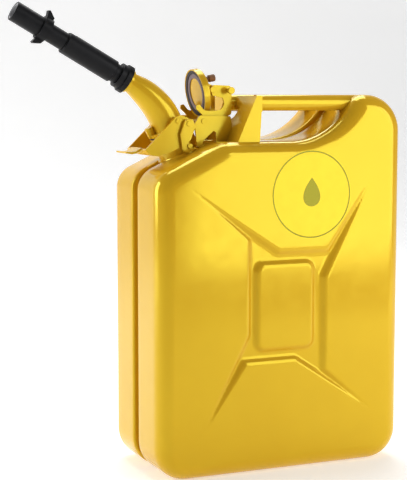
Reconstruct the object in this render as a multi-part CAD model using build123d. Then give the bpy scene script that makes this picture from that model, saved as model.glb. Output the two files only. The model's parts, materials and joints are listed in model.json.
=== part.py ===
"""Twenty-litre pressed-steel jerry can with its pouring spout clamped on and its own lid swung open.

Millimetres. X runs from the spout end (-X) to the back of the can (+X), Y across it, Z up.
The origin is the centre of the base, on the ground. The left side of the can is at -Y.
"""

from build123d import *
import os
from math import atan2, cos, degrees, hypot, pi, radians, sin, sqrt, tan

# ---------------------------------------------------------------- driving dimensions
LENGTH = 336.0            # front face to back face
WIDTH = 161.0             # left panel to right panel
HEIGHT = 470.0            # ground to the top of the handles
SHEET = 1.2               # steel sheet of the two pressed halves
EDGE_R = 20.0             # roll between a side panel and the narrow faces
FLAT_TOP_Z = 413.0        # level part of the top, under the hand opening
SHOULDER_DEG = 25.0       # slope of the front shoulder that carries the neck
SHOULDER_X = -79.4        # where that slope meets the level top
SCOOP_START_X = 15.0      # where the level top starts to curve up to the rear hump
SCOOP_R = 100.0
GROOVE_HALF = 8.0         # half width of the channel that protects the centre seam
GROOVE_DEPTH = 8.0
RECESS_DEPTH = 5.0        # pressed cross in each side panel
RECESS_DRAFT_DEG = 50.0
PAD_HALF_X, PAD_HALF_Z, PAD_R = 38.0, 53.0, 13.0
PAD_CENTRE = (1.0, 209.5)

HANDLE_R = 10.0
HANDLE_WALL = 1.5
HANDLE_Y = 48.0           # the outer two of three parallel bars

NECK_R = 26.0             # outside of the pouring neck
NECK_BORE_R = 23.5
RIM_V = 30.0              # top of the neck above the shoulder, along its axis
PLATE = 2.5               # thickness of brackets, levers and lugs

LID_R = 30.0
LID_DEPTH = 9.5
LID_SHEET = 1.6
RETAINER_R, DISH_R = 24.0, 18.5
PIN_R = 2.5
FIT = 0.05                # radial clearance of a pin in its holes

SPOUT_GASKET = 2.0
NOZZLE_DEG = 29.7         # the nozzle's rise above the horizontal
NOZZLE_LENGTH = 163.0     # back of its flange to its tip
TIP_R = 12.3
SLIDER_R = 11.1
GRIP_R = 13.9

# ---------------------------------------------------------------- frames
SLOPE = radians(SHOULDER_DEG)
NECK_BASE = (-108.0, 398.0)                       # x, z of the neck axis at the shoulder
NECK_AXIS = Vector(-sin(SLOPE), 0, cos(SLOPE))
NOZZLE_AXIS = Vector(-cos(radians(NOZZLE_DEG)), 0, sin(radians(NOZZLE_DEG)))
NOZZLE_BACK = Vector(-177.3, 0, 487.4)            # centre of the nozzle flange's back face


def neck_xz(u, v):
    """x, z of a point u along the shoulder (rearwards) and v along the neck axis."""
    return (NECK_BASE[0] + u * cos(SLOPE) - v * sin(SLOPE), NECK_BASE[1] + u * sin(SLOPE) + v * cos(SLOPE))


def neck_plane(v, u=0.0):
    """Plane square to the neck axis at height v, with its x rearwards."""
    x, z = neck_xz(u, v)
    return Plane(origin=(x, 0, z), x_dir=(cos(SLOPE), 0, sin(SLOPE)), z_dir=NECK_AXIS)


def nozzle_plane(h):
    """Plane square to the nozzle axis, h along it from the back of the flange; its y is sideways."""
    rise = (sin(radians(NOZZLE_DEG)), 0, cos(radians(NOZZLE_DEG)))
    return Plane(origin=NOZZLE_BACK + NOZZLE_AXIS * h, x_dir=rise, z_dir=NOZZLE_AXIS)


LID_FACE = (-87.1, 471.7)                         # centre of the open lid's gasket face
LID_BACK_DIR = Vector(0.985, 0, 0.174).normalized()
HINGE = (-88.5, 437.4)                            # lid hinge pin, across the can
LID_PIN_BACK, LID_PIN_UP = 13.2, 1.9              # its cross pin, behind the face and above its centre
LID_PIN = (LID_FACE[0] + LID_PIN_BACK * LID_BACK_DIR.X - LID_PIN_UP * LID_BACK_DIR.Z,
           LID_FACE[1] + LID_PIN_BACK * LID_BACK_DIR.Z + LID_PIN_UP * LID_BACK_DIR.X)
LOCK_PIN = (-54.0, 475.0)
CLAMP_PIVOT = neck_xz(3.6, 42.0)                  # spout clamp lever turns here
HOOK_PIVOT = neck_xz(13.6, 34.0)                  # side hooks of the spout turn here
STUD = neck_xz(3.0, 9.0)                         # studs on the neck that the hooks catch


# ---------------------------------------------------------------- small helpers
def save(node, shape):
    """One STEP file for a named piece."""
    solids = shape.solids()
    whole = solids[0] if len(solids) == 1 else Compound(children=list(solids))
    export_step(whole, f"parts/{node}.step")
    print(f"{node}: {len(solids)} solid(s), {sum(s.volume for s in solids):.0f} mm3")


def rod(plane, radius, length):
    """Cylinder that starts on a plane and runs along its normal."""
    return extrude(plane * Circle(radius), amount=length)


def tube(plane, outer, inner, length):
    return rod(plane, outer, length) - rod(plane, inner, length)


def cross_rod(x, z, radius, y_low, y_high):
    """Cylinder across the can."""
    plane = Plane(origin=(x, y_low, z), x_dir=(1, 0, 0), z_dir=(0, 1, 0))
    return extrude(plane * Circle(radius), amount=y_high - y_low)


def side_plate(points, y_low, y_high, arcs=()):
    """Plate in the XZ plane between two y values; arcs gives (index, radius) of rounded corners."""
    face = make_face(Polyline(*[(x, z) for x, z in points], close=True))
    for index, radius in arcs:
        x, z = points[index]
        vertex = face.vertices().sort_by_distance((x, z, 0))[0]
        face = fillet(vertex, radius)
    plane = Plane(origin=(0, y_low, 0), x_dir=(1, 0, 0), z_dir=(0, -1, 0))
    return extrude(plane * face, amount=-(y_high - y_low))


def both_sides(solid):
    """A piece and its mirror image on the other side of the can."""
    return solid, mirror(solid, about=Plane.XZ)


# ---------------------------------------------------------------- can body
def body_profile():
    """Side view of the can, in x and z."""
    half = LENGTH / 2
    shoulder_z = FLAT_TOP_Z - (SHOULDER_X + half) * tan(SLOPE)
    rise = HEIGHT - FLAT_TOP_Z
    crest_x = SCOOP_START_X + sqrt(SCOOP_R**2 - (SCOOP_R - rise) ** 2)
    bend = radians(35)
    middle = (SCOOP_START_X + SCOOP_R * sin(bend), FLAT_TOP_Z + SCOOP_R * (1 - cos(bend)))
    outline = [
        Polyline((SCOOP_START_X, FLAT_TOP_Z), (SHOULDER_X, FLAT_TOP_Z), (-half, shoulder_z), (-half, 0),
                 (half, 0), (half, HEIGHT), (crest_x, HEIGHT)),
        ThreePointArc((crest_x, HEIGHT), middle, (SCOOP_START_X, FLAT_TOP_Z)),
    ]
    face = make_face(outline)
    corners = [((SHOULDER_X, FLAT_TOP_Z), 45), ((-half, shoulder_z), 30), ((-half, 0), 40), ((half, 0), 40),
               ((half, HEIGHT), 46), ((crest_x, HEIGHT), 22)]
    for (x, z), radius in corners:
        face = fillet(face.vertices().sort_by_distance((x, z, 0))[0], radius)
    return face


SIDE = Plane(origin=(0, 0, 0), x_dir=(1, 0, 0), z_dir=(0, -1, 0))


def slab(profile, half_width):
    return extrude(SIDE * profile, amount=half_width, both=True)


def blank(grow):
    """The can as a closed rounded block, grown outwards by an amount (negative: inwards)."""
    profile = offset(body_profile(), amount=grow) if grow else body_profile()
    block = slab(profile, WIDTH / 2 + grow)
    rims = block.edges().filter_by(lambda e: abs(abs(e.center().Y) - (WIDTH / 2 + grow)) < 1e-3)
    return fillet(rims, EDGE_R + grow)


def grooved(block, inset, half_width):
    """Cuts the seam channel into a block, half_width either side of the middle and inset deep."""
    core = slab(offset(body_profile(), amount=-inset), half_width)
    middle = Box(2 * LENGTH, 2 * half_width, 2.5 * HEIGHT)
    return block - (middle - core)


def cross_outline():
    """The pressed cross: four arms that run out to points, turned a little so that they don't line up."""
    quarter = [(-124.0, 356.0), (-7.5, 279.5), (60.0, 279.5), (126.0, 374.0), (58.5, 243.0), (58.5, 126.5)]
    cx, cz = PAD_CENTRE[0] + 2.5, PAD_CENTRE[1]
    return quarter + [(2 * cx - x, 2 * cz - z) for x, z in quarter]


def cross_cutter(extra):
    """What the cross removes from the left panel; extra shifts it inwards, for the inside of the sheet."""
    y = -WIDTH / 2 + extra
    plane = Plane(origin=(0, y, 0), x_dir=(1, 0, 0), z_dir=(0, -1, 0))
    outline = make_face(Polyline(*cross_outline(), close=True))
    cutter = extrude(plane * outline, amount=-RECESS_DEPTH, taper=RECESS_DRAFT_DEG)
    spread = RECESS_DEPTH * tan(radians(RECESS_DRAFT_DEG))
    floor = Plane(origin=(0, y + RECESS_DEPTH, 0), x_dir=(1, 0, 0), z_dir=(0, -1, 0))
    pad_size = (2 * (PAD_HALF_X + spread), 2 * (PAD_HALF_Z + spread))
    pad = Pos(*PAD_CENTRE) * RectangleRounded(*pad_size, PAD_R + spread)
    return cutter - extrude(floor * pad, amount=RECESS_DEPTH, taper=RECESS_DRAFT_DEG)


def body_solids():
    """Outside block with its channel and crosses, and the hollow sheet-steel can."""
    near, inner_near = cross_cutter(0), cross_cutter(SHEET)
    outside = grooved(blank(0), GROOVE_DEPTH, GROOVE_HALF)
    inside = grooved(blank(-SHEET), GROOVE_DEPTH + SHEET, GROOVE_HALF + SHEET)
    for cutter in both_sides(near):
        outside -= cutter
    for cutter in both_sides(inner_near):
        inside -= cutter
    hole = rod(neck_plane(-40), NECK_R, 70)
    return outside, outside - inside - hole


def half_of(can, side):
    keep = Pos(0, side * WIDTH, 0) * Box(2 * LENGTH, 2 * WIDTH, 3 * HEIGHT)
    return can & keep


def seam_weld(neck_clear):
    """The welded flanges of the two halves: a low fin along the floor of the channel."""
    fin_half, fin_height = 1.6, 3.5
    outer = slab(offset(body_profile(), amount=-(GROOVE_DEPTH - fin_height)), fin_half)
    inner = slab(offset(body_profile(), amount=-GROOVE_DEPTH), fin_half)
    return outer - inner - neck_clear


# ---------------------------------------------------------------- handles
def handle_bars(outside):
    """Three parallel tubes from the front bracket to the rear hump."""
    bars = {}
    for name, y, start in (("left", -HANDLE_Y, -27.0), ("centre", 0.0, -42.0), ("right", HANDLE_Y, -27.0)):
        plane = Plane(origin=(start, y, HEIGHT - HANDLE_R), x_dir=(0, 1, 0), z_dir=(1, 0, 0))
        bar = tube(plane, HANDLE_R, HANDLE_R - HANDLE_WALL, 150) - outside
        bars[name] = bar.solids().sort_by(Axis.X)[0]
    return bars


def facing(x):
    """Plane across the can at x that faces rearwards; its x is sideways and its y up."""
    return Plane(origin=(x, 0, 0), x_dir=(0, 1, 0), z_dir=(1, 0, 0))


def handle_bracket(outside):
    """Pressed saddle that holds the front ends of the bars: two cheeks, a notched front and a rear strip."""
    foot_z, top_z, strip_z = 404.0, 468.5, 449.0
    foot_x, top_x = (-62.4, -29.5), (-31.0, -23.0)
    foot_half, top_half, strip_half = 67.0, 61.5, 62.9
    strip_x, strip_deep = -27.0, 3.2

    def block(inset):
        quad = [(foot_x[0] + inset, foot_z - inset), (foot_x[1] + inset, foot_z - inset),
                (top_x[1] + inset, top_z - inset), (top_x[0] + inset, top_z - inset)]
        ends = [(-foot_half + inset, foot_z - inset), (foot_half - inset, foot_z - inset),
                (top_half - inset, top_z - inset), (-top_half + inset, top_z - inset)]
        front_view = extrude(facing(-120) * make_face(Polyline(*ends, close=True)), amount=120)
        return side_plate(quad, -100, 100) & front_view

    shell = block(0) - block(PLATE)
    notch = make_face(Polyline((-22, 440), (22, 440), (37, 480), (-37, 480), close=True))
    notch = fillet(notch.vertices().sort_by(Axis.Y)[:2], 10)
    shell -= extrude(facing(-120) * notch, amount=85)
    strip = make_face(Polyline((-strip_half, strip_z), (strip_half, strip_z), (top_half, top_z), (-top_half, top_z),
                               close=True))
    shell = shell + extrude(facing(strip_x) * strip, amount=strip_deep)
    for y, start in ((-HANDLE_Y, strip_x), (0, -60), (HANDLE_Y, strip_x)):
        shell -= rod(facing(start) * Pos(y, HEIGHT - HANDLE_R, 0), HANDLE_R, 60)
    return (shell - outside).solids().sort_by(SortBy.VOLUME)[-1]


# ---------------------------------------------------------------- neck and lid hinge
ARM_Y = 28.5              # inside of the outer plates: clamp arms and hinge ears
LEVER_Y = 24.0            # inside of the lid lever's arms


def neck_tube():
    """Rolled neck welded into the shoulder, with a turned-over rim."""
    body = tube(neck_plane(-14), NECK_R, NECK_BORE_R, RIM_V + 14)
    rim = tube(neck_plane(RIM_V - 3), NECK_R + 1.8, NECK_BORE_R, 3)
    return body + rim


def neck_skirt(outside):
    """Pressed weld collar around the foot of the neck."""
    collar = tube(neck_plane(-10), NECK_R + 3.0, NECK_R, 12.5)
    collar = chamfer(collar.edges().group_by(SortBy.LENGTH)[-1].sort_by(Axis.Z)[-1], 2.0)
    return (collar - outside).solids().sort_by(SortBy.VOLUME)[-1]


def neck_studs():
    """A stud on each side of the neck for the spout's hooks."""
    studs = []
    for side in (-1, 1):
        start = 20.0
        stud = cross_rod(*STUD, 2.0, start, 37.2)
        head = cross_rod(*STUD, 3.2, 36.4, 38.0)
        whole = (stud + head) - rod(neck_plane(-20), NECK_R, 80)
        studs.append(whole if side == 1 else mirror(whole, about=Plane.XZ))
    return Compound(children=[s.solids().sort_by(SortBy.VOLUME)[-1] for s in studs])


def hinge_ear(outside, bracket):
    """Left-hand ear behind the neck that carries the hinge pin, with a web back to the handle bracket."""
    front_foot, front_low, notch = neck_xz(14, -9), neck_xz(14, 6.3), neck_xz(22.3, 30.2)
    outline = [front_foot, front_low, notch, (-95.5, 442.5), (-93, 444.5), (-52, 443.5), (-50.5, 433),
               (-50.5, 428), (-57, 408), (-72, 408), (-72, 423.5), (-75, 425.5), (-89.6, 412.8), (-90, 404)]
    rounding = [(1, 6), (3, 2), (4, 1.5), (5, 2), (10, 1), (11, 1)]
    ear = side_plate(outline, -ARM_Y - PLATE, -ARM_Y, arcs=rounding)
    ear -= cross_rod(*HINGE, PIN_R, -60, 60)
    foot_outline = [neck_xz(u, v) for u, v in ((14, -9), (22, -9), (22, 2.5), (14, 2.5))]
    foot = side_plate(foot_outline, -ARM_Y - 7, -ARM_Y)
    return (ear + foot - outside - bracket).solids().sort_by(SortBy.VOLUME)[-1]


def hinge_pin():
    reach = ARM_Y + PLATE
    pin = cross_rod(*HINGE, PIN_R, -reach - 0.5, reach + 0.5)
    heads = [cross_rod(*HINGE, PIN_R + 0.8, low, low + 1.0) for low in (-reach - 1.0, reach)]
    return pin + heads[0] + heads[1]


def hinge_washers():
    rings = []
    for side in (-1, 1):
        low = min(side * (LEVER_Y + PLATE + 0.1), side * ARM_Y)
        high = max(side * (LEVER_Y + PLATE + 0.1), side * ARM_Y)
        rings.append(cross_rod(*HINGE, 5.5, low, high) - cross_rod(*HINGE, PIN_R, -60, 60))
    return Compound(children=[r.solids()[0] for r in rings])


def breather_tube():
    """Thin pipe from the neck to the air space under the hump, so that the can pours smoothly."""
    start, elbow = neck_xz(19.9, 26), neck_xz(19.9, -24)
    points = [(start[0], 0, start[1]), (elbow[0], 0, elbow[1]), (62, 0, 392), (108, 0, 438)]
    path = FilletPolyline(*points, radius=18)
    plane = Plane(origin=path @ 0, z_dir=path % 0)
    outer = sweep(plane * Circle(3.5), path=path)
    inner = sweep(plane * Circle(2.5), path=path)
    return outer - inner


# ---------------------------------------------------------------- lid
def lid_plane(back):
    """Plane parallel to the lid's face, a distance behind it; its x runs up the lid, its y across the can."""
    x, z = LID_FACE[0] + back * LID_BACK_DIR.X, LID_FACE[1] + back * LID_BACK_DIR.Z
    return Plane(origin=(x, 0, z), x_dir=(-LID_BACK_DIR.Z, 0, LID_BACK_DIR.X), z_dir=LID_BACK_DIR)


def lid_cap():
    """Pressed cup with a raised middle, open towards the neck."""
    cup = rod(lid_plane(0), LID_R, LID_DEPTH)
    face_centre = Vector(LID_FACE[0], 0, LID_FACE[1])
    rims = cup.edges().filter_by(GeomType.CIRCLE)
    back_rim = rims.sort_by(lambda rim: (rim.center() - face_centre).length)[-1]
    cup = fillet(back_rim, 3)
    hollow = rod(lid_plane(-1), LID_R - LID_SHEET, LID_DEPTH - LID_SHEET + 1)
    middle = tube(lid_plane(2.5), DISH_R, DISH_R - LID_SHEET, LID_DEPTH - 2.5)
    floor = rod(lid_plane(2.5), DISH_R, LID_SHEET)
    dent = rod(lid_plane(2.5 + LID_SHEET), DISH_R - LID_SHEET, 30)
    return (cup - hollow) + middle + floor - dent


def lid_gasket():
    """Rubber ring in the cup."""
    return tube(lid_plane(0.6), LID_R - LID_SHEET, RETAINER_R, LID_DEPTH - 2.2)


def lid_retainer():
    """Ring that holds the gasket."""
    flat = tube(lid_plane(1.4), RETAINER_R, DISH_R, 2.0)
    wall = tube(lid_plane(1.4), RETAINER_R, RETAINER_R - LID_SHEET, LID_DEPTH - 3.0)
    return flat + wall


def lid_lugs():
    """Two lugs on the back of the lid for the cross pin."""
    lugs = []
    for side in (-1, 1):
        low = min(side * 19.0, side * 21.5)
        base = [(-9, LID_DEPTH), (9, LID_DEPTH), (4.6, 17.5), (-4.6, 17.5)]
        points = []
        for offset, back in base:
            up = offset + LID_PIN_UP
            plane = lid_plane(back)
            points.append((plane.origin.X + up * plane.x_dir.X, plane.origin.Z + up * plane.x_dir.Z))
        lug = side_plate(points, low, low + 2.5, arcs=[(2, 3.5), (3, 3.5)])
        lugs.append(lug - cross_rod(*LID_PIN, PIN_R + FIT, -60, 60))
    return Compound(children=[lug.solids()[0] for lug in lugs])


def lid_pin():
    reach = LEVER_Y + PLATE
    pin = cross_rod(*LID_PIN, PIN_R, -reach - 1.0, reach + 1.0)
    heads = [cross_rod(*LID_PIN, PIN_R + 1.2, low, low + 1.2) for low in (-reach - 1.3, reach + 0.1)]
    return pin + heads[0] + heads[1]


def lid_bumper():
    """Rubber stop on the back of the lid."""
    plane = lid_plane(LID_DEPTH)
    spot = Plane(origin=plane.origin + plane.x_dir * 14.6, x_dir=plane.x_dir, z_dir=plane.z_dir)
    base = rod(spot, 3.0, 14.0)
    head_plane = Plane(origin=spot.origin + spot.z_dir * 11.5, x_dir=spot.x_dir, z_dir=spot.z_dir)
    return base + rod(head_plane, 4.6, 8.5)


def lid_lever():
    """Locking lever: two hook-shaped side arms joined by a rolled cross bar."""
    outline = [(-92.5, 436.5), (-90.5, 442), (-87.5, 444.5), (-96.5, 452.5), (-96, 457), (-92.2, 458),
               (-86, 450.8), (-76, 449.6), (-63, 451.5), (-58.6, 458), (-60.5, 466), (-74.8, 469), (-77.2, 477),
               (-73, 482), (-51.5, 481), (-48.6, 478), (-49, 445.5), (-60, 441), (-73, 440.5), (-83.5, 434.5)]
    rounding = [(2, 2), (3, 1.5), (4, 1.5), (5, 1), (6, 5), (7, 10), (8, 5), (9, 5), (10, 4), (11, 2), (13, 3),
                (14, 1.4), (16, 4), (17, 8)]
    arms = []
    for low in (-LEVER_Y - PLATE, LEVER_Y):
        arm = side_plate(outline, low, low + PLATE, arcs=rounding) + cross_rod(*HINGE, 6.4, low, low + PLATE)
        for pin in (HINGE, LID_PIN):
            arm -= cross_rod(*pin, PIN_R + FIT, -60, 60)
        arms.append(arm)
    bar = cross_rod(*LOCK_PIN, 5.0, -LEVER_Y, LEVER_Y)
    lever = arms[0] + arms[1] + bar
    return lever - cross_rod(*LOCK_PIN, PIN_R + FIT, -60, 60)


def lock_pin():
    """Headed pin that slides through the cross bar and pins the closed lid."""
    reach = LEVER_Y + PLATE
    stem = cross_rod(*LOCK_PIN, PIN_R, -reach - 8.5, reach + 1.5)
    knob = cross_rod(*LOCK_PIN, 4.4, -reach - 12.0, -reach - 8.5)
    return stem + knob


# ---------------------------------------------------------------- spout
def spout_gasket():
    return tube(neck_plane(RIM_V), NECK_R + 1.2, 19.0, SPOUT_GASKET)


def spout_base():
    """Flat ring with a side lug each for the clamp's two pairs of pivots."""
    floor = RIM_V + SPOUT_GASKET
    ring = tube(neck_plane(floor), NECK_R + 1.2, 17.8, 4.0)
    lug_outline = [(-7, floor), (19, floor), (19, floor + 7), (11, floor + 15), (-3, floor + 15)]
    points = [neck_xz(u, v) for u, v in lug_outline]
    lugs = []
    for low in (-ARM_Y + 0.4, ARM_Y - 0.4 - 3.1):
        lug = side_plate(points, low, low + 3.1, arcs=[(2, 5), (3, 5), (4, 5)])
        lugs.append(lug - cross_rod(*CLAMP_PIVOT, PIN_R, -60, 60) - cross_rod(*HOOK_PIVOT, PIN_R, -60, 60))
    return ring + lugs[0] + lugs[1]


HORN_STATIONS = [(36.0, 20.4), (43.0, 20.0)]      # height on the neck axis, outside radius


def horn_sections():
    """Planes and outside radii along the horn, from its foot to the nozzle."""
    foot = [(neck_plane(v), r) for v, r in HORN_STATIONS]
    start = neck_plane(43.0).origin
    line = Spline(tuple(start), tuple(NOZZLE_BACK), tangents=[NECK_AXIS, NOZZLE_AXIS])
    bend = []
    for at, radius in ((0.18, 19.6), (0.38, 18.6), (0.58, 17.0), (0.78, 14.6), (1.0, 11.9)):
        point, along = line @ at, line % at
        bend.append((Plane(origin=point, x_dir=(0, 1, 0), z_dir=along), radius))
    foot = [(Plane(origin=p.origin, x_dir=(0, 1, 0), z_dir=p.z_dir), r) for p, r in foot]
    return foot + bend


def spout_horn():
    """Tapered bent pipe from the spout's base to the nozzle, ending in a seat for it."""
    sections = horn_sections()
    outer = loft([plane * Circle(r) for plane, r in sections])
    inner = loft([plane * Circle(r - 2.0) for plane, r in sections])
    seat = tube(nozzle_plane(-3.5), 14.5, 9.9, 3.5)
    return outer - inner + (seat - inner)


def vent_boss(horn_solid):
    """Short stub for the spout's own air pipe, in front of the horn."""
    stub = rod(neck_plane(RIM_V + SPOUT_GASKET + 1, u=-24.2), 5.4, 13.0)
    outer = loft([plane * Circle(r) for plane, r in horn_sections()])
    stub -= tube(neck_plane(RIM_V), NECK_R + 1.2, 17.8, SPOUT_GASKET + 4)
    return (stub - outer).solids().sort_by(SortBy.VOLUME)[-1]


def clamp_lever():
    """U-shaped clamp lever: two side arms and a curled finger tongue across the front."""
    outline = [(-50.4, 28.9), (-46, 20), (-38, 14.5), (-17.9, 12.2), (-3.6, 12.4), (7.2, 26.4), (9.4, 42),
               (4.9, 48.1), (-22.8, 38.5)]
    points = [neck_xz(u, v) for u, v in outline]
    rounding = [(1, 4), (2, 3), (4, 2.5), (5, 5), (6, 3), (7, 3), (8, 15)]
    arms = []
    for low in (-ARM_Y - PLATE, ARM_Y):
        arm = side_plate(points, low, low + PLATE, arcs=rounding)
        arms.append(arm - cross_rod(*CLAMP_PIVOT, PIN_R + FIT, -60, 60))
    web = [(-50.4, 28.9), (-46, 20), (-38, 14.5), (-37.2, 16.9), (-44, 21.6), (-48.2, 29.6)]
    bridge = side_plate([neck_xz(u, v) for u, v in web], -ARM_Y, ARM_Y)
    lip = [(-50.2, 28.2), (-57.5, 27.6), (-63, 29.0), (-69.6, 33.6), (-68.8, 35.6), (-62.4, 31.6),
           (-57.4, 30.2), (-48.4, 30.8)]
    tongue = side_plate([neck_xz(u, v) for u, v in lip], -17, 17)
    return arms[0] + arms[1] + bridge + tongue


def clamp_pivots():
    """One rivet pin a side for the clamp lever."""
    pins = []
    for side in (-1, 1):
        stem = cross_rod(*CLAMP_PIVOT, PIN_R, ARM_Y - 3.5, ARM_Y + PLATE + 0.3)
        head = cross_rod(*CLAMP_PIVOT, PIN_R + 0.8, ARM_Y + PLATE + 0.2, ARM_Y + PLATE + 1.1)
        pin = stem + head
        pins.append(pin if side == 1 else mirror(pin, about=Plane.XZ))
    return Compound(children=[p.solids()[0] for p in pins])


HOOK_Y = ARM_Y + PLATE + 2.4


def clamp_hook():
    """Left-hand hook that hangs from the spout's base and catches the stud on the neck."""
    outline = [(9.4, 39.5), (20.6, 37.4), (20.2, 27), (8.0, 15.5), (1.0, 12.5), (0.4, 9.0), (0.9, 6.6),
               (3.0, 6.5), (8.0, 4.9), (9.6, 3.2), (8.4, 2.2), (-4.0, 2.2), (-8.0, 8.0), (-2.6, 27)]
    points = [neck_xz(u, v) for u, v in outline]
    rounding = [(0, 3), (1, 2.5), (2, 5), (3, 6), (11, 4), (12, 5)]
    low = -HOOK_Y - PLATE
    hook = side_plate(points, low, -HOOK_Y, arcs=rounding) + cross_rod(*HOOK_PIVOT, 5.6, low, -HOOK_Y)
    return hook - cross_rod(*HOOK_PIVOT, PIN_R + FIT, -60, 60)


def hook_pivots():
    """One shouldered pin a side for the hooks."""
    pins = []
    for side in (-1, 1):
        stem = cross_rod(*HOOK_PIVOT, PIN_R, ARM_Y - 3.5, HOOK_Y + PLATE + 0.3)
        shoulder = cross_rod(*HOOK_PIVOT, 3.4, ARM_Y - 0.4, HOOK_Y - 0.1)
        head = cross_rod(*HOOK_PIVOT, 3.3, HOOK_Y + PLATE + 0.2, HOOK_Y + PLATE + 1.2)
        pin = stem + shoulder + head
        pins.append(pin if side == 1 else mirror(pin, about=Plane.XZ))
    return Compound(children=[p.solids()[0] for p in pins])


# ---------------------------------------------------------------- nozzle
FLANGE_H = 14.0           # length of the lock ring
SPIGOT_R = 11.2           # back end of the grip, inside the lock ring
GRIP_FRONT = 91.0
COLLAR_BACK, COLLAR_FRONT = 115.0, 126.0
SEAT_H = 129.0            # valve seat inside the tip


def nozzle_flange():
    """Lock ring that holds the nozzle on the horn: a wide back disc and a narrower front ring."""
    back = tube(nozzle_plane(0.1), 17.65, SPIGOT_R + FIT, 6.4)
    front = tube(nozzle_plane(6.5), 15.6, SPIGOT_R + FIT, FLANGE_H - 6.6)
    flange = back + front
    for turn in range(0, 360, 30):
        cut = nozzle_plane(1.5) * Rot(0, 0, turn) * Pos(17.9, 0, 2.2) * Box(1.4, 2.4, 6)
        flange -= cut
    return flange


def nozzle_grip():
    """Grip body: a short neck, then the hand-hold with a stepped front."""
    neck = rod(nozzle_plane(FLANGE_H), 11.7, 8) + rod(nozzle_plane(0), SPIGOT_R, FLANGE_H)
    hold = rod(nozzle_plane(FLANGE_H + 7), GRIP_R, GRIP_FRONT - FLANGE_H - 7)
    hold = chamfer(hold.edges().filter_by(GeomType.CIRCLE), 0.8)
    step = nozzle_plane(GRIP_FRONT - 9) * Pos(GRIP_R, 0, 5) * Box(3.0, 2 * GRIP_R, 10)
    bore = rod(nozzle_plane(44), SLIDER_R + FIT, GRIP_FRONT)
    channel = rod(nozzle_plane(-1), 9.0, 70)
    return neck + hold - step - bore - channel


def nozzle_slider():
    """Inner tube that carries the tip and slides in the grip; the valve seat is a step in its bore."""
    body = rod(nozzle_plane(66), SLIDER_R, COLLAR_FRONT + 12 - 66)
    bore = rod(nozzle_plane(60), 9.0, SEAT_H - 3 - 60)
    throat = rod(nozzle_plane(60), 6.4, 90)
    mouth = rod(nozzle_plane(SEAT_H), 9.0, 40)
    groove = tube(nozzle_plane(70), SLIDER_R + 1, SLIDER_R - 1.5, 2.4)
    return body - bore - throat - mouth - groove


def slider_seal():
    """O-ring between the slider and the grip."""
    return tube(nozzle_plane(70.1), SLIDER_R - 0.02, SLIDER_R - 1.5, 2.2)


def hook_collar():
    """Collar whose two hooks catch behind the lip of a filler neck."""
    ring = tube(nozzle_plane(COLLAR_BACK), 15.0, SLIDER_R, COLLAR_FRONT - COLLAR_BACK)
    collar = ring
    for side, reach in ((1, 22.8), (-1, 21.5)):
        points = [(13.0, COLLAR_BACK + 1), (17.0, COLLAR_BACK + 1), (reach, COLLAR_FRONT - 1.5),
                  (reach - 1.2, COLLAR_FRONT + 0.8), (13.0, COLLAR_FRONT - 2)]
        if side < 0:
            points = [(-r, h) for r, h in points]
        flat = Plane(origin=NOZZLE_BACK, x_dir=nozzle_plane(0).x_dir, z_dir=(0, 1, 0))
        rise = flat.to_local_coords(NOZZLE_BACK + NOZZLE_AXIS).Y
        face = make_face(Polyline(*[(r, h * rise) for r, h in points], close=True))
        lug = extrude(flat * face, amount=4.5, both=True)
        collar = collar + (lug - rod(nozzle_plane(100), 14.0, 40))
    return collar


def tip_tube():
    """Outlet tube on the end of the slider."""
    outer = rod(nozzle_plane(COLLAR_FRONT), TIP_R, NOZZLE_LENGTH - COLLAR_FRONT)
    rims = outer.edges().filter_by(GeomType.CIRCLE)
    mouth = rims.sort_by(lambda rim: (rim.center() - NOZZLE_BACK).length)[-1]
    outer = chamfer(mouth, 0.8)
    return outer - rod(nozzle_plane(COLLAR_FRONT - 1), SLIDER_R, 13) - rod(nozzle_plane(COLLAR_FRONT), 10.6, 50)


def tip_liner():
    """Pale ring let into the mouth of the outlet tube."""
    return tube(nozzle_plane(COLLAR_FRONT + 12.0), 10.6, 8.8, NOZZLE_LENGTH - COLLAR_FRONT - 12.6)


def valve_stem():
    """Fixed stem with a valve disc in front of the seat."""
    stem = rod(nozzle_plane(24), 2.2, SEAT_H + 3.5 - 24)
    disc = rod(nozzle_plane(SEAT_H + 0.3), 7.6, 3.2)
    return stem + disc


def valve_spider():
    """Three-legged ring that fixes the stem in the grip."""
    hub = tube(nozzle_plane(24), 4.2, 2.2, 5)
    for turn in (90, 210, 330):
        leg = nozzle_plane(24) * Rot(0, 0, turn) * Pos(5.9, 0, 2.5) * Box(5.6, 1.6, 5)
        hub = hub + (leg & rod(nozzle_plane(20), 9.0, 20))
    return hub - rod(nozzle_plane(20), 2.2, 20)


def nozzle_spring():
    """Return spring between the grip's inner step and the slider."""
    wire, coil = 0.8, 10.1
    plane = nozzle_plane(44.9)
    turns, length = 5, 20.0
    path = plane.location * Helix(pitch=length / turns, height=length, radius=coil)
    section = Plane(origin=path @ 0, z_dir=path % 0)
    return sweep(section * Circle(wire), path=path, is_frenet=True)


# ---------------------------------------------------------------- label
LABEL_CENTRE, LABEL_R = (36.0, 347.0), 55.4


def label_disc():
    """Round stick-on label on the left panel, above the pressed cross."""
    film = blank(0.15) - blank(0)
    x, z = LABEL_CENTRE
    return (film & cross_rod(x, z, LABEL_R, -WIDTH, -WIDTH / 2 + 6)).solids().sort_by(Axis.Y)[0]


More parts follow.
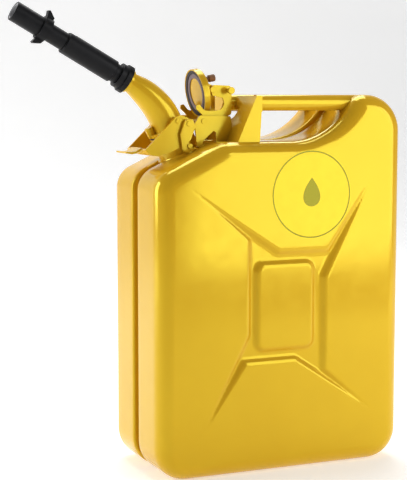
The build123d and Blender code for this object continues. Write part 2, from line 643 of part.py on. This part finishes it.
# ---------------------------------------------------------------- assembly
def build_all():
    outside, can = body_solids()
    neck_clear = rod(neck_plane(-40), NECK_R + 6, 90)
    save("shell_left", half_of(can, -1))
    save("shell_right", half_of(can, 1))
    weld = seam_weld(neck_clear)
    save("seam_weld", weld)
    solid_can = outside + weld
    for name, bar in handle_bars(solid_can).items():
        save(f"handle_bar_{name}", bar)
    bracket = handle_bracket(solid_can)
    save("handle_bracket", bracket)
    save("neck_tube", neck_tube())
    save("neck_skirt", neck_skirt(outside))
    save("neck_studs", neck_studs())
    for name, ear in zip(("left", "right"), both_sides(hinge_ear(outside, bracket))):
        save(f"hinge_ear_{name}", ear)
    save("hinge_pin", hinge_pin())
    save("hinge_washers", hinge_washers())
    save("breather_tube", breather_tube())
    save("lid_cap", lid_cap())
    save("lid_gasket", lid_gasket())
    save("lid_retainer", lid_retainer())
    save("lid_lugs", lid_lugs())
    save("lid_pin", lid_pin())
    save("lid_bumper", lid_bumper())
    save("lid_lever", lid_lever())
    save("lock_pin", lock_pin())
    save("spout_gasket", spout_gasket())
    save("spout_base", spout_base())
    horn = spout_horn()
    save("spout_horn", horn)
    save("vent_boss", vent_boss(horn))
    save("clamp_lever", clamp_lever())
    save("clamp_pivots", clamp_pivots())
    for name, hook in zip(("left", "right"), both_sides(clamp_hook())):
        save(f"clamp_hook_{name}", hook)
    save("hook_pivots", hook_pivots())
    save("nozzle_flange", nozzle_flange())
    save("nozzle_grip", nozzle_grip())
    save("nozzle_slider", nozzle_slider())
    save("slider_seal", slider_seal())
    save("hook_collar", hook_collar())
    save("tip_tube", tip_tube())
    save("tip_liner", tip_liner())
    save("valve_stem", valve_stem())
    save("valve_spider", valve_spider())
    save("nozzle_spring", nozzle_spring())
    save("label_disc", label_disc())


if __name__ == "__main__":
    os.makedirs("parts", exist_ok=True)
    build_all()
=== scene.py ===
"""Studio scene of a yellow pressed-steel jerry can with its spout fitted.

It holds the finishes, the detailed panels, the eased parts, the lights and the camera.
Metres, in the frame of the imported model: X towards the back of the can, Y across it, Z up.
"""

import json
from math import asin, cos, degrees, hypot, pi, radians, sin, sqrt, tan

import bmesh
import bpy
import numpy as np
from mathutils import Euler, Matrix, Vector
from mathutils.geometry import delaunay_2d_cdt


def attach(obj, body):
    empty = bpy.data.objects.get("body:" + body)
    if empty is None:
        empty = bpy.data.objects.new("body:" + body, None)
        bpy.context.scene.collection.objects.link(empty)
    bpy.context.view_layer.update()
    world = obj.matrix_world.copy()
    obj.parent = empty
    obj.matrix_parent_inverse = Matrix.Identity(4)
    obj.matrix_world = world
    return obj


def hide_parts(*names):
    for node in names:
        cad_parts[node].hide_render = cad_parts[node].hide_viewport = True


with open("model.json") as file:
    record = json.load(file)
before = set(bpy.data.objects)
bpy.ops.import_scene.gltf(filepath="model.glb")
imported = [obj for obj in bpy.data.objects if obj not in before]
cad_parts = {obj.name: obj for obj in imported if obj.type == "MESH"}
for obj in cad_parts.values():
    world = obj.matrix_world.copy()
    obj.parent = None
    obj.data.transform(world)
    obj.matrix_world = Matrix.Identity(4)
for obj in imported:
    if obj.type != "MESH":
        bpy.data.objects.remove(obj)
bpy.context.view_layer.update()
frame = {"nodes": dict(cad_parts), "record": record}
NODES = frame["nodes"]
MM = 0.001

# ---------------------------------------------------------------- colours
YELLOW = (0.64, 0.36, 0.014)
BLACK = (0.006, 0.006, 0.007)
RUBBER = (0.020, 0.014, 0.012)
BROWN = (0.16, 0.07, 0.02)
ZINC = (0.62, 0.58, 0.50)
GREY = (0.17, 0.13, 0.14)
PALE = (0.35, 0.35, 0.36)
WARM_TINT = (1.0, 0.90, 0.09, 1.0)                # tint of the reflections on enamel and label
LABEL_GROUND, LABEL_GROUND_LIGHT = (0.68, 0.43, 0.014), (0.72, 0.46, 0.016)
INK = (0.006, 0.005, 0.003)

# ---------------------------------------------------------------- the printed label, millimetres
LABEL_AT = (36.0, 347.0)                          # x, z of its centre on the left panel
LABEL_RING, LABEL_LINE = 53.4, 0.95               # radius of the ring and half the line's width
DROP_BELOW, DROP_TALL, DROP_WIDE = 15.0, 36.0, 31.0


# ---------------------------------------------------------------- materials
class Finish:
    """A material under construction: a Principled shader and short ways to add to it."""

    def __init__(self, name, **values):
        self.material = bpy.data.materials.new(name)
        self.material.use_nodes = True
        self.tree = self.material.node_tree
        self.shader = self.tree.nodes["Principled BSDF"]
        self.place = self.node("ShaderNodeTexCoord").outputs["Object"]
        for socket, value in values.items():
            self.shader.inputs[socket].default_value = value

    def node(self, kind, **settings):
        made = self.tree.nodes.new(kind)
        for key, value in settings.items():
            setattr(made, key, value)
        return made

    def link(self, source, target):
        self.tree.links.new(source, target)

    def noise(self, scale, detail=4.0, roughness=0.55, stretch=None):
        """Noise value from 0 to 1 over object space; scale is features per metre."""
        texture = self.node("ShaderNodeTexNoise")
        texture.inputs["Scale"].default_value = scale
        texture.inputs["Detail"].default_value = detail
        texture.inputs["Roughness"].default_value = roughness
        source = self.place
        if stretch:
            mapping = self.node("ShaderNodeMapping")
            mapping.inputs["Scale"].default_value = stretch
            self.link(source, mapping.inputs["Vector"])
            source = mapping.outputs["Vector"]
        self.link(source, texture.inputs["Vector"])
        return texture.outputs["Fac"]

    def ramp(self, source, *stops):
        """Colour ramp; each stop is (position, colour or grey level)."""
        made = self.node("ShaderNodeValToRGB")
        band = made.color_ramp
        while len(band.elements) < len(stops):
            band.elements.new(0.5)
        for element, (position, colour) in zip(band.elements, stops):
            element.position = position
            grey = colour if isinstance(colour, tuple) else (colour,) * 3
            element.color = (*grey[:3], 1.0)
        self.link(source, made.inputs["Fac"])
        return made.outputs["Color"]

    def mix(self, amount, first, second):
        made = self.node("ShaderNodeMix", data_type="RGBA", blend_type="MIX")
        sockets = (made.inputs[0], made.inputs[6], made.inputs[7])
        for socket, value in zip(sockets, (amount, first, second)):
            if isinstance(value, (int, float)):
                socket.default_value = value if socket.type == "VALUE" else (value, value, value, 1.0)
            elif isinstance(value, tuple):
                socket.default_value = (*value[:3], 1.0)
            else:
                self.link(value, socket)
        return made.outputs[2]

    def math(self, operation, *values):
        made = self.node("ShaderNodeMath", operation=operation)
        for socket, value in zip(made.inputs, values):
            if isinstance(value, (int, float)):
                socket.default_value = value
            else:
                self.link(value, socket)
        return made.outputs[0]

    def bump(self, *layers):
        """Layers of (height source, distance in millimetres)."""
        normal = None
        for source, depth in layers:
            made = self.node("ShaderNodeBump")
            made.inputs["Distance"].default_value = depth * MM
            made.inputs["Strength"].default_value = 1.0
            self.link(source, made.inputs["Height"])
            if normal:
                self.link(normal, made.inputs["Normal"])
            normal = made.outputs["Normal"]
        self.link(normal, self.shader.inputs["Normal"])

    def set(self, socket, source):
        self.link(source, self.shader.inputs[socket])
        return self


def enamel(name, colour, gloss=0.12):
    """Sprayed enamel on pressed steel: slight mottling, orange peel, faint handling marks."""
    made = Finish(name, **{"Metallic": 0.0, "IOR": 1.75, "Specular IOR Level": 0.9,
                           "Specular Tint": WARM_TINT})
    cloud = made.noise(9.0, 3.0)
    fine = made.noise(60.0, 5.0)
    deep = tuple(c * k for c, k in zip(colour, (0.95, 0.92, 0.88)))
    base = made.mix(made.ramp(cloud, (0.35, 0.0), (0.7, 1.0)), deep, colour)
    marks = made.ramp(made.noise(26.0, 8.0, 0.7), (0.30, 1.0), (0.37, 0.0))
    base = made.mix(made.mix(0.10, 0.0, marks), base, tuple(c * 0.8 for c in colour))
    made.set("Base Color", base)
    made.set("Roughness", made.ramp(fine, (0.3, gloss - 0.03), (0.75, gloss + 0.06)))
    made.bump((made.noise(300.0, 2.0), 0.012), (made.noise(22.0, 2.0), 0.10))
    return made.material


def plastic(name, colour, rough=0.42):
    """Moulded plastic with a fine spark-eroded grain."""
    made = Finish(name, **{"IOR": 1.45, "Specular IOR Level": 0.18})
    grain = made.noise(900.0, 3.0)
    cloud = made.noise(45.0, 4.0)
    light = tuple(c * 1.4 + 0.002 for c in colour)
    made.set("Base Color", made.mix(made.ramp(cloud, (0.35, 0.0), (0.75, 1.0)), colour, light))
    made.set("Roughness", made.ramp(cloud, (0.3, rough - 0.08), (0.7, rough + 0.10)))
    made.bump((grain, 0.06), (made.noise(70.0, 2.0), 0.06))
    return made.material


def rubber(name, colour):
    """Moulded rubber with a dusty bloom."""
    made = Finish(name, **{"IOR": 1.5})
    cloud = made.noise(80.0, 5.0)
    dusty = tuple(c * 2.2 + 0.01 for c in colour)
    made.set("Base Color", made.mix(made.ramp(cloud, (0.45, 0.0), (0.8, 1.0)), colour, dusty))
    made.set("Roughness", made.ramp(cloud, (0.3, 0.5), (0.7, 0.8)))
    made.bump((made.noise(700.0, 3.0), 0.08))
    return made.material


def zinc(name, colour):
    """Zinc-plated steel with faint drawing streaks."""
    made = Finish(name, **{"Metallic": 1.0})
    streak = made.noise(120.0, 4.0, stretch=(1.0, 8.0, 1.0))
    dull = tuple(c * 0.6 for c in colour)
    made.set("Base Color", made.mix(made.ramp(streak, (0.35, 0.0), (0.7, 1.0)), dull, colour))
    made.set("Roughness", made.ramp(streak, (0.3, 0.28), (0.7, 0.5)))
    made.bump((made.noise(600.0, 3.0), 0.03))
    return made.material


def label_print(name):
    """Printed film: yellow ground, a thin black ring near the rim and a plain drop in the middle."""
    made = Finish(name, **{"IOR": 1.75, "Roughness": 0.16, "Specular IOR Level": 0.8,
                           "Specular Tint": WARM_TINT})
    split = made.node("ShaderNodeSeparateXYZ")
    made.link(made.place, split.inputs[0])
    across = made.math("SUBTRACT", split.outputs["X"], LABEL_AT[0] * MM)
    up = made.math("SUBTRACT", split.outputs["Z"], LABEL_AT[1] * MM)
    square = made.math("ADD", made.math("MULTIPLY", across, across), made.math("MULTIPLY", up, up))
    reach = made.math("SQRT", square)
    off_ring = made.math("ABSOLUTE", made.math("SUBTRACT", reach, LABEL_RING * MM))
    ring = made.math("LESS_THAN", off_ring, LABEL_LINE * MM)
    rise = made.math("DIVIDE", made.math("ADD", up, DROP_BELOW * MM), DROP_TALL * MM)
    left = made.math("SUBTRACT", 1.0, rise)
    inside = made.math("MAXIMUM", made.math("MULTIPLY", rise, left), 0.0)
    taper = made.math("SQRT", made.math("MULTIPLY", inside, made.math("MAXIMUM", left, 0.0)))
    half = made.math("MULTIPLY", taper, DROP_WIDE * MM)
    drop = made.math("LESS_THAN", made.math("ABSOLUTE", across), half)
    ink = made.math("MAXIMUM", ring, drop)
    cloud = made.ramp(made.noise(70.0, 4.0), (0.3, 0.0), (0.7, 1.0))
    ground = made.mix(cloud, LABEL_GROUND, LABEL_GROUND_LIGHT)
    made.set("Base Color", made.mix(ink, ground, INK))
    made.bump((made.noise(420.0, 2.0), 0.02))
    return made.material


def finishes():
    return {
        "body_paint": enamel("body_enamel", YELLOW),
        "trim_paint": enamel("trim_enamel", YELLOW, 0.16),
        "bracket_paint": enamel("bracket_enamel", YELLOW, 0.18),
        "bare_steel": zinc("zinc_plate", ZINC),
        "black_rubber": rubber("black_rubber", RUBBER),
        "brown_rubber": rubber("brown_rubber", BROWN),
        "retainer_grey": plastic("retainer_plastic", GREY, 0.4),
        "black_plastic": plastic("black_plastic", BLACK),
        "pale_plastic": plastic("pale_plastic", PALE, 0.4),
        "label_film": label_print("label_film"),
    }


# ---------------------------------------------------------------- pressed body halves
HALF_L, HALF_W, TOP = 168.0, 80.5, 470.0          # the can's size, as in the frame
DECK, SHOULDER_X, SLOPE = 413.0, -79.4, radians(25)
SCOOP_X, SCOOP_R, CREST_R, BACK_R = 15.0, 100.0, 22.0, 46.0
FOOT_R, SHOULDER_R, DECK_R = 40.0, 30.0, 45.0
ROLL, GROOVE, GROOVE_D = 20.0, 8.0, 8.0
CROSS_D, CROSS_BEVEL, PAD_BEVEL = 4.9, 9.0, 8.0
CROSS_CENTRE = (3.5, 209.5)
CROSS = [(-124.0, 356.0), (-7.5, 279.5), (60.0, 279.5), (126.0, 374.0), (58.5, 243.0), (58.5, 126.5)]
PAD_CENTRE, PAD_HALF, PAD_R = (1.0, 209.5), (43.5, 58.5), 15.0
GRID = 2.2                                        # spacing of the points inside the side panel
SHARP = radians(38)                               # edges sharper than this are rounded


def arc(centre, radius, start, end, step=2.0):
    """Points on an arc, angles in degrees, about step millimetres apart."""
    count = max(3, int(abs(radians(end - start)) * radius / step))
    angles = [radians(start + (end - start) * k / count) for k in range(count + 1)]
    return [(centre[0] + radius * cos(a), centre[1] + radius * sin(a)) for a in angles]


def line(start, end, step=4.0):
    count = max(1, int(hypot(end[0] - start[0], end[1] - start[1]) / step))
    return [(start[0] + (end[0] - start[0]) * k / count, start[1] + (end[1] - start[1]) * k / count)
            for k in range(count + 1)]


def fillet_arc(before, corner, after, radius):
    """Arc that rounds a corner between two straight edges."""
    a, b, c = (Vector(p) for p in (before, corner, after))
    first, second = (a - b).normalized(), (c - b).normalized()
    half = first.angle(second) / 2
    centre = b + (first + second).normalized() * (radius / sin(half))
    start = b + first * (radius / tan(half)) - centre
    end = b + second * (radius / tan(half)) - centre
    turn = start.angle_signed(end)
    count = max(4, int(abs(turn) * radius / 2.0))
    points = []
    for k in range(count + 1):
        angle = turn * k / count
        spin = Matrix.Rotation(-angle, 2)
        point = centre + spin @ start
        points.append((point.x, point.y))
    return points


def outline():
    """The can's side view, x and z in millimetres, clockwise from the foot of the scoop."""
    rise = TOP - DECK
    crest = SCOOP_X + sqrt((SCOOP_R + CREST_R) ** 2 - (SCOOP_R - rise + CREST_R) ** 2)
    angle = degrees(asin((SCOOP_R - rise + CREST_R) / (SCOOP_R + CREST_R)))
    knee = DECK - (SHOULDER_X + HALF_L) * tan(SLOPE)
    points = arc((SCOOP_X, DECK + SCOOP_R), SCOOP_R, -90, -angle)
    points += arc((crest, TOP - CREST_R), CREST_R, 180 - angle, 90)
    points += fillet_arc((0, TOP), (HALF_L, TOP), (HALF_L, 0), BACK_R)
    points += fillet_arc((HALF_L, TOP), (HALF_L, 0), (0, 0), FOOT_R)
    points += fillet_arc((0, 0), (-HALF_L, 0), (-HALF_L, knee), FOOT_R)
    points += fillet_arc((-HALF_L, 0), (-HALF_L, knee), (SHOULDER_X, DECK), SHOULDER_R)
    points += fillet_arc((-HALF_L, knee), (SHOULDER_X, DECK), (SCOOP_X, DECK), DECK_R)
    points.append(points[0])
    even = []
    for first, second in zip(points, points[1:]):
        if hypot(second[0] - first[0], second[1] - first[1]) > 0.05:
            even += line(first, second)[:-1]
    return even


def outward(points):
    """Unit normals of a closed clockwise outline."""
    normals = []
    for k, _ in enumerate(points):
        before, after = points[k - 1], points[(k + 1) % len(points)]
        run = Vector((after[0] - before[0], after[1] - before[1])).normalized()
        normals.append(Vector((-run.y, run.x)))
    return normals


def section():
    """Across the can, from the rim of the side panel to the seam.

    Each point is (inset from the outline, distance from the can's middle plane).
    """
    steps, lip, lip_steps = 10, 3.2, 6
    path = []
    for k in range(steps + 1):
        turn = k * pi / 2 / steps
        path.append((ROLL * (1 - sin(turn)), HALF_W - ROLL * (1 - cos(turn))))
    path += [(0.0, 46.0), (0.0, 32.0), (0.0, 20.0)]
    for k in range(lip_steps + 1):
        turn = k * pi / 2 / lip_steps
        path.append((lip * (1 - cos(turn)), GROOVE + lip * (1 - sin(turn))))
    path += [(GROOVE_D - 1.5, GROOVE), (GROOVE_D - 0.4, GROOVE - 0.5)]
    path += [(GROOVE_D, GROOVE - 1.6), (GROOVE_D, 1.55)]
    return path


def edge_distance(points, loop):
    """Signed distance of points to a closed polygon, positive inside."""
    px, pz = points[:, 0], points[:, 1]
    best = np.full(len(points), 1e9)
    inside = np.zeros(len(points), bool)
    for (ax, az), (bx, bz) in zip(loop, loop[1:] + loop[:1]):
        ex, ez = bx - ax, bz - az
        t = np.clip(((px - ax) * ex + (pz - az) * ez) / (ex * ex + ez * ez), 0, 1)
        best = np.minimum(best, np.hypot(px - ax - t * ex, pz - az - t * ez))
        cross = (az > pz) != (bz > pz)
        with np.errstate(divide="ignore", invalid="ignore"):
            inside ^= cross & (px < (bx - ax) * (pz - az) / (bz - az + 1e-12) + ax)
    return np.where(inside, best, -best)


def ease(value):
    value = np.clip(value, 0, 1)
    return value * value * (3 - 2 * value)


def pressing(points):
    """How deep the cross is pressed in at each point of the side panel."""
    cx, cz = CROSS_CENTRE
    loop = CROSS + [(2 * cx - x, 2 * cz - z) for x, z in CROSS]
    inside = edge_distance(points, loop)
    depth = ease((inside + 0.6) / CROSS_BEVEL)
    qx = np.abs(points[:, 0] - PAD_CENTRE[0]) - (PAD_HALF[0] - PAD_R)
    qz = np.abs(points[:, 1] - PAD_CENTRE[1]) - (PAD_HALF[1] - PAD_R)
    pad = np.hypot(np.maximum(qx, 0), np.maximum(qz, 0)) + np.minimum(np.maximum(qx, qz), 0) - PAD_R
    return CROSS_D * depth * ease((pad + PAD_BEVEL) / PAD_BEVEL)


def half_shell(side):
    """One pressed half as a single surface: side panel, rolled edge, narrow faces, half of the seam channel."""
    ring = outline()
    normals = outward(ring)
    path = section()
    verts, faces = [], []
    for inset, across in path:
        for (x, z), n in zip(ring, normals):
            verts.append((x - n.x * inset, side * across, z - n.y * inset))
    count = len(ring)
    for row in range(len(path) - 1):
        for k in range(count):
            a, b = row * count + k, row * count + (k + 1) % count
            faces.append((a, b, b + count, a + count))
    rim = [Vector((verts[k][0], verts[k][2])) for k in range(count)]
    loop = [(p.x, p.y) for p in rim]
    grid = np.array([(x, z) for x in np.arange(-HALF_L, HALF_L, GRID) for z in np.arange(0, TOP, GRID)])
    grid = grid[edge_distance(grid, loop) > GRID * 0.6]
    points = rim + [Vector(p) for p in grid]
    border = [(k, (k + 1) % count) for k in range(count)]
    flat, _, triangles, origins, _, _ = delaunay_2d_cdt(points, border, [], 1, 1e-4)
    flat_points = np.array([(p.x, p.y) for p in flat])
    depth = pressing(flat_points)
    index = []
    for k, (point, source) in enumerate(zip(flat, origins)):
        if source and source[0] < count:
            index.append(source[0])
        else:
            index.append(len(verts))
            verts.append((point.x, side * (HALF_W - depth[k]), point.y))
    faces += [tuple(index[i] for i in triangle) for triangle in triangles]
    name = "panel_left" if side < 0 else "panel_right"
    mesh = bpy.data.meshes.new(name)
    mesh.from_pydata([(x * MM, y * MM, z * MM) for x, y, z in verts], [], faces)
    build = bmesh.new()
    build.from_mesh(mesh)
    bmesh.ops.remove_doubles(build, verts=build.verts, dist=1e-6)
    bmesh.ops.recalc_face_normals(build, faces=build.faces)
    build.to_mesh(mesh)
    build.free()
    mesh.shade_smooth()
    shell = bpy.data.objects.new(name, mesh)
    bpy.context.scene.collection.objects.link(shell)
    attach(shell, "can")
    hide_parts("shell_left" if side < 0 else "shell_right")
    mesh.materials.append(materials["body_paint"])


# ---------------------------------------------------------------- plates and castings with eased edges
EASED = {                                         # node: radius of its edges, millimetres
    "handle_bracket": 0.9, "hinge_ear_left": 0.7, "hinge_ear_right": 0.7,
    "lid_lever": 0.7, "lid_lugs": 0.6,
    "spout_base": 0.7, "clamp_lever": 0.7, "clamp_hook_left": 0.7, "clamp_hook_right": 0.7,
    "clamp_pivots": 0.3, "hook_pivots": 0.3, "hinge_pin": 0.3, "lid_pin": 0.3,
    "neck_studs": 0.4, "lock_pin": 0.5,
    "lid_bumper": 0.8, "nozzle_flange": 0.8, "nozzle_grip": 0.8, "hook_collar": 0.8, "tip_tube": 0.6,
    "neck_skirt": 0.8, "neck_tube": 0.7, "lid_gasket": 0.6, "lid_retainer": 0.5,
}


def eased(node, radius):
    """Put a copy with rounded sharp edges in the place of a part."""
    build = bmesh.new()
    build.from_mesh(NODES[node].data)
    build.transform(NODES[node].matrix_world)
    bmesh.ops.remove_doubles(build, verts=build.verts, dist=2e-6)
    bmesh.ops.dissolve_limit(build, angle_limit=radians(1.0), verts=build.verts, edges=build.edges)
    folds = [edge for edge in build.edges if len(edge.link_faces) == 2]
    sharp = [edge for edge in folds if edge.calc_face_angle() > SHARP]
    bmesh.ops.bevel(build, geom=sharp, offset=radius * MM, segments=3, profile=0.5, affect="EDGES",
                    clamp_overlap=True)
    bmesh.ops.remove_doubles(build, verts=build.verts, dist=2e-6)
    bmesh.ops.dissolve_degenerate(build, edges=build.edges, dist=1e-6)
    mesh = bpy.data.meshes.new(f"eased_{node}")
    build.to_mesh(mesh)
    build.free()
    mesh.shade_smooth()
    mesh.set_sharp_from_angle(angle=SHARP)
    piece = bpy.data.objects.new(f"eased_{node}", mesh)
    piece.modifiers.new("even_shading", "WEIGHTED_NORMAL").keep_sharp = True
    bpy.context.scene.collection.objects.link(piece)
    body = next(name for name, nodes in frame["record"]["behaviour"]["bodies"].items() if node in nodes)
    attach(piece, body)
    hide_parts(node)
    mesh.materials.clear()
    mesh.materials.append(materials[slots[node]])


# ---------------------------------------------------------------- camera, floor and light
CAMERA_AT, CAMERA_LENS = (-0.7589, -1.5637, 0.4676), 101.7
CAMERA_YAW, CAMERA_PITCH = radians(23.614), radians(6.039)
PAPER_GLOW, WORLD_STRENGTH = 0.36, 0.19


def make_camera():
    data = bpy.data.cameras.new("camera")
    data.sensor_fit = "AUTO"
    data.sensor_width = 36.0
    data.lens = CAMERA_LENS
    data.clip_start = 0.05
    data.clip_end = 50.0
    camera = bpy.data.objects.new("camera", data)
    bpy.context.scene.collection.objects.link(camera)
    camera.location = CAMERA_AT
    camera.rotation_euler = Euler((pi / 2 - CAMERA_PITCH, 0, -CAMERA_YAW), "XYZ")
    bpy.context.scene.camera = camera


def area_light(name, place, target, size, power):
    data = bpy.data.lights.new(name, "AREA")
    data.shape = "RECTANGLE"
    data.size, data.size_y = size
    data.energy = power
    lamp = bpy.data.objects.new(name, data)
    lamp.location = place
    lamp.rotation_euler = (Vector(target) - Vector(place)).to_track_quat("-Z", "Y").to_euler()
    bpy.context.scene.collection.objects.link(lamp)


def make_world(strength):
    world = bpy.data.worlds.new("studio")
    bpy.context.scene.world = world
    world.use_nodes = True
    back = world.node_tree.nodes["Background"]
    back.inputs["Color"].default_value = (1.0, 1.0, 1.0, 1.0)
    back.inputs["Strength"].default_value = strength


def make_floor():
    """Pale sweep that rises behind the can."""
    build = bmesh.new()
    run, rise, bend = 6.0, 5.0, 1.2
    profile = [(-3.0, 0.0), (2.0, 0.0)]
    profile += [(2.0 + bend * sin(t * pi / 24), bend * (1 - cos(t * pi / 24))) for t in range(1, 13)]
    profile += [(2.0 + bend, rise)]
    rows = [[build.verts.new((x, y, z)) for y, z in profile] for x in (-run, run)]
    for k in range(len(profile) - 1):
        build.faces.new((rows[0][k], rows[1][k], rows[1][k + 1], rows[0][k + 1]))
    mesh = bpy.data.meshes.new("floor")
    build.normal_update()
    build.to_mesh(mesh)
    build.free()
    mesh.shade_smooth()
    floor = bpy.data.objects.new("floor", mesh)
    bpy.context.scene.collection.objects.link(floor)
    paper = Finish("paper", **{"Roughness": 0.9})
    paper.set("Base Color", paper.ramp(paper.noise(3.0, 2.0), (0.3, 0.88), (0.7, 0.90)))
    paper.shader.inputs["Emission Color"].default_value = (1.0, 1.0, 1.0, 1.0)
    paper.shader.inputs["Emission Strength"].default_value = PAPER_GLOW
    mesh.materials.append(paper.material)


def make_lights():
    make_world(WORLD_STRENGTH)
    area_light("side_card", (1.147, -1.2, 0.70), (1.147, 0.0, 0.70), (1.6, 1.2), 22.0)
    area_light("left_bank", (-2.1, 0.7, 0.9), (0.0, 0.05, 0.25), (1.0, 1.6), 32)
    area_light("top", (0.2, 0.9, 2.1), (0.0, 0.0, 0.35), (1.5, 1.5), 36)


make_camera()
make_floor()
make_lights()
materials = finishes()
slots = {row["node"]: row["material_slot"] for row in frame["record"]["subparts"]}
for node, thing in NODES.items():
    thing.data.materials.clear()
    thing.data.materials.append(materials[slots[node]])
for side in (-1, 1):
    half_shell(side)
for node, radius in EASED.items():
    eased(node, radius)
view = bpy.context.scene.view_settings
view.view_transform = "Standard"
view.look = "None"
